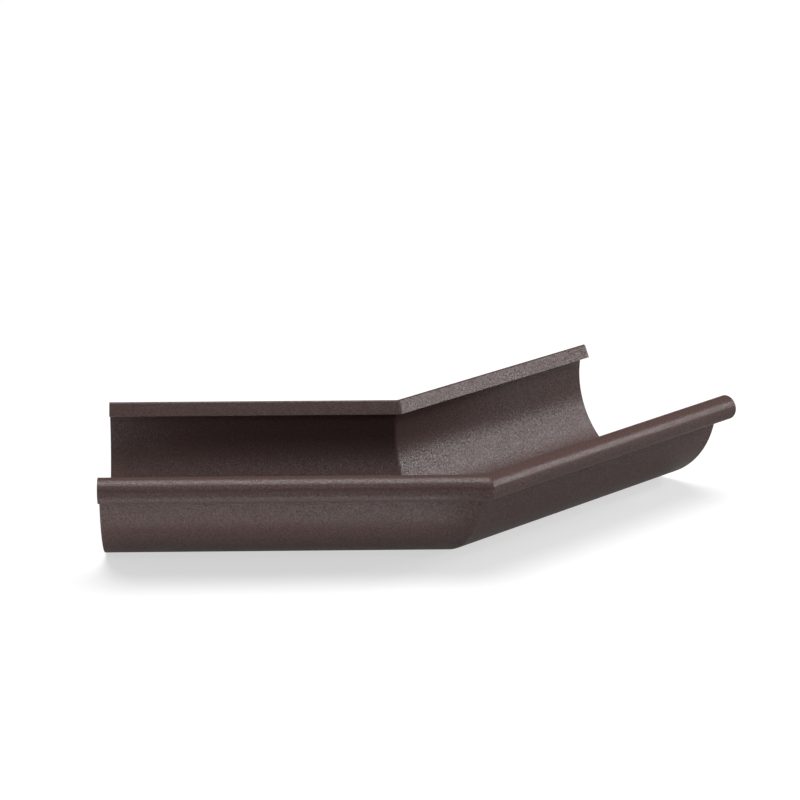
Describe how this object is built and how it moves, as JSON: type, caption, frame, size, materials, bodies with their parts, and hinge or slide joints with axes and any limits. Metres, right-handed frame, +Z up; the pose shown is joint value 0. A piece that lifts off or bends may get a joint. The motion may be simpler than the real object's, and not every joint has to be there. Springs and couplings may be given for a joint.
{
  "type": "gutter external corner",
  "caption": "Half-round rain gutter external corner: a coated steel channel that turns an obtuse corner at a soft crease, with a rolled front bead and a folded-in back lip.",
  "frame": {"origin": "middle of the underside of the part's box, on the floor that its two legs rest on", "axes": "+Z up; the crease lies in the plane X = 0; -Y is the bead's side, the outside of the corner; -X and +X are the two open ends"},
  "size_m": [0.4684, 0.229, 0.0837],
  "materials": {
    "coated_steel": "matte, finely grained chocolate brown coil coating"
  },
  "bodies": {
    "root": {"gutter_corner": "coated_steel"}
  },
  "joints": []
}
